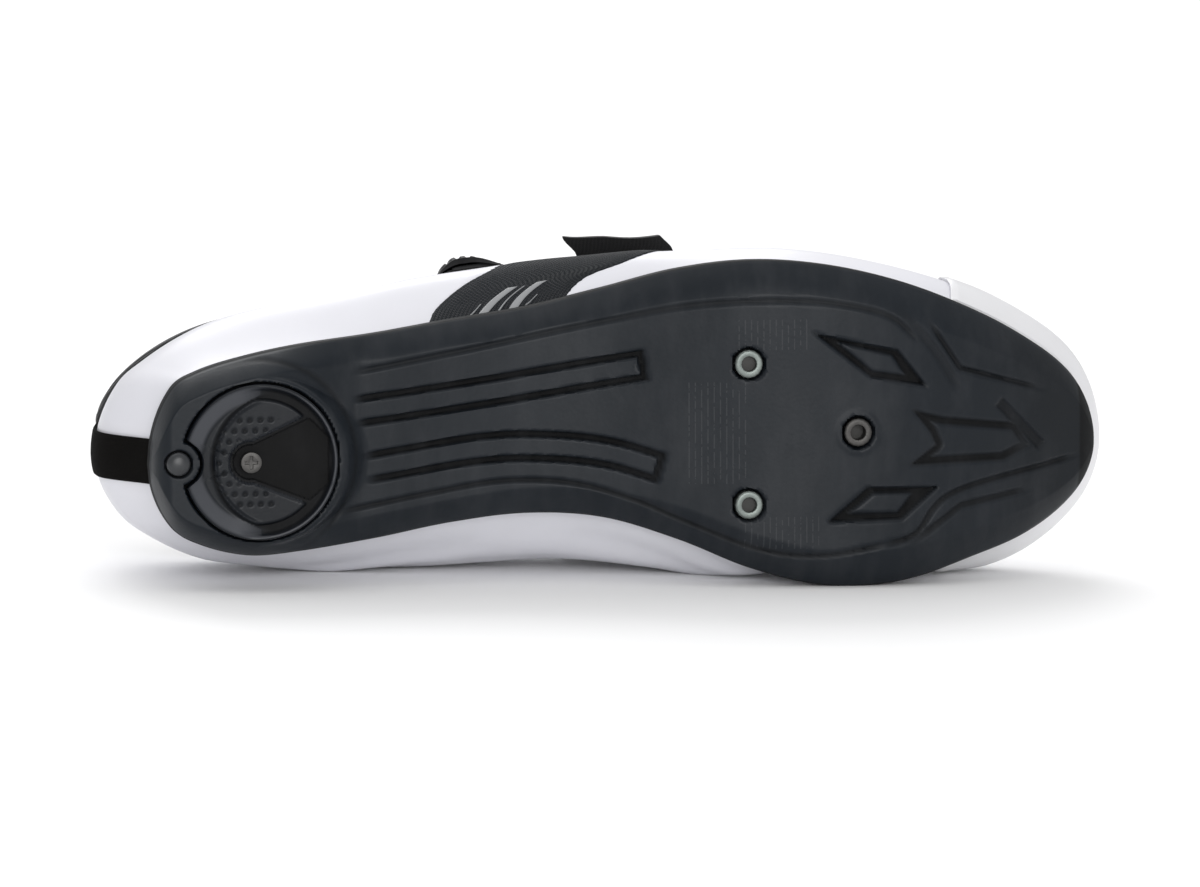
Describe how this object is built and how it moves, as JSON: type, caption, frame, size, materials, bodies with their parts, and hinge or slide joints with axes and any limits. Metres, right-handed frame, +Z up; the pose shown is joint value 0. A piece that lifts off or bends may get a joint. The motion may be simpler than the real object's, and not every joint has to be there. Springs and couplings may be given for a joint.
{
  "type": "cycling shoe",
  "caption": "Right road cycling shoe with stiff composite sole, white hollow upper, hook-and-loop forefoot strap and ratchet buckle, lying on its inner side.",
  "frame": {"origin": "middle of the footprint box on the floor that the shoe lies on", "axes": "+X from heel to toe, +Y from the sole towards the opening, +Z up, from the inner to the outer side of the foot"},
  "size_m": [0.2864, 0.1002, 0.092],
  "materials": {
    "sole_composite": "moulded, satin",
    "pad_rubber": "moulded",
    "screw_steel": "dulled",
    "insert_zinc": "zinc plated",
    "upper_white": "smooth synthetic, satin",
    "mesh_black": "knitted mesh",
    "strap_black": "woven",
    "buckle_black": "moulded",
    "lining_black": "brushed"
  },
  "bodies": {
    "root": {"outsole": "sole_composite", "heel_pad": "pad_rubber", "heel_pad_screw": "screw_steel", "heel_rivet": "sole_composite", "cleat_insert_rear_lateral": "insert_zinc", "cleat_insert_rear_medial": "insert_zinc", "cleat_insert_front": "screw_steel", "upper": "upper_white", "mesh_insert": "mesh_black", "toe_cap": "upper_white", "heel_strip": "lining_black", "collar_padding": "lining_black", "tongue": "lining_black", "insole": "lining_black", "forefoot_strap": "strap_black", "instep_strap": "buckle_black", "buckle_base": "buckle_black", "buckle_lever": "buckle_black"}
  },
  "joints": []
}
